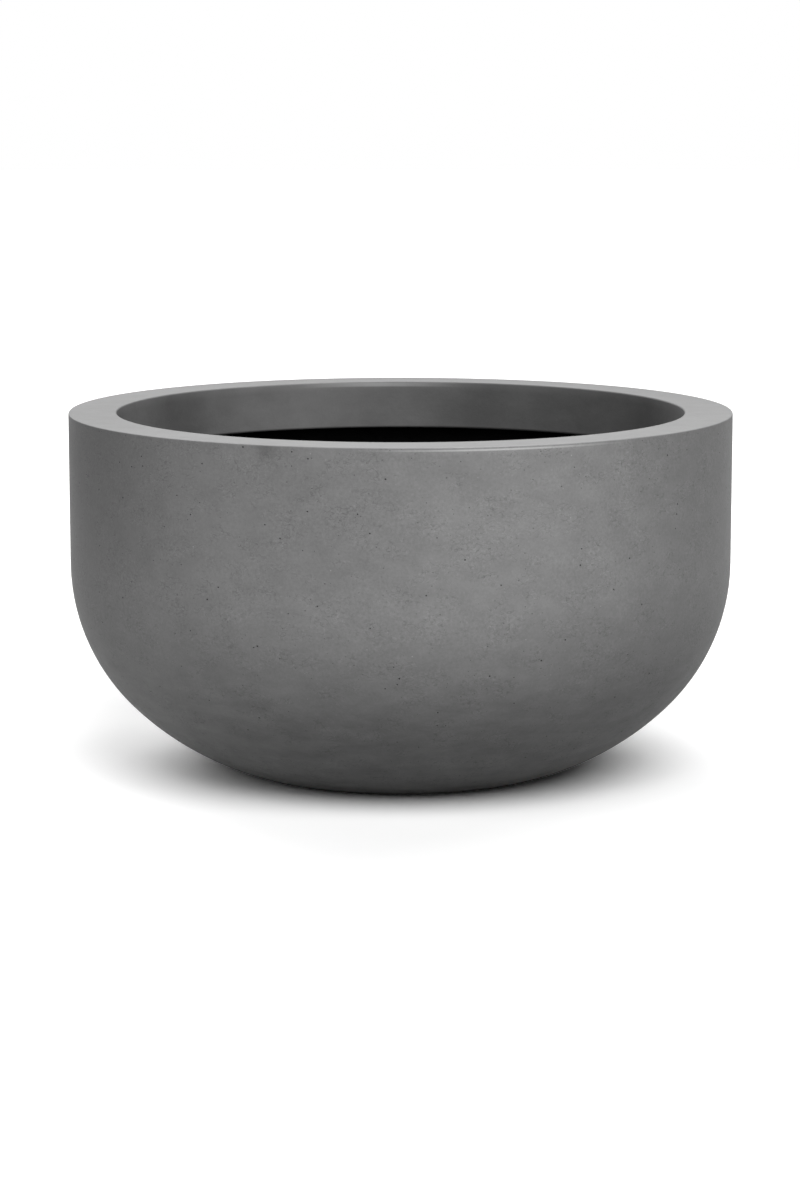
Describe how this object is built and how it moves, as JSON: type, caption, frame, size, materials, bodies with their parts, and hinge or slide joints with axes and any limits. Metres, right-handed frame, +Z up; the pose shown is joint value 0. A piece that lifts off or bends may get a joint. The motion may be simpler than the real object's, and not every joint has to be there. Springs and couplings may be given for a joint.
{
  "type": "bowl planter",
  "caption": "Round floor planter bowl in matte grey fibre stone, with an upright wall, a rounded base, a wide flat rim turned down inside, a black coated inside and a lift-out drain plug.",
  "frame": {"origin": "on the ground, under the middle of the bowl", "axes": "+Z up along the bowl's axis; +X and +Y run level between the foot pads"},
  "size_m": [0.61, 0.61, 0.331],
  "materials": {
    "fibre_stone": "matte",
    "bonding_paste": "matte",
    "black_coat": "matte",
    "plug_rubber": "matte",
    "pad_rubber": "matte"
  },
  "bodies": {
    "planter": {"bowl_shell": "fibre_stone", "rim_ring": "fibre_stone", "rim_bond": "bonding_paste", "inner_coating": "black_coat", "foot_pads": "pad_rubber"},
    "plug": {"drain_plug": "plug_rubber"}
  },
  "joints": [
    {"name": "plug_lift", "type": "slide", "parent": "planter", "child": "plug", "axis": [0, 0, 1], "range_m": [0, 0.335]}
  ]
}
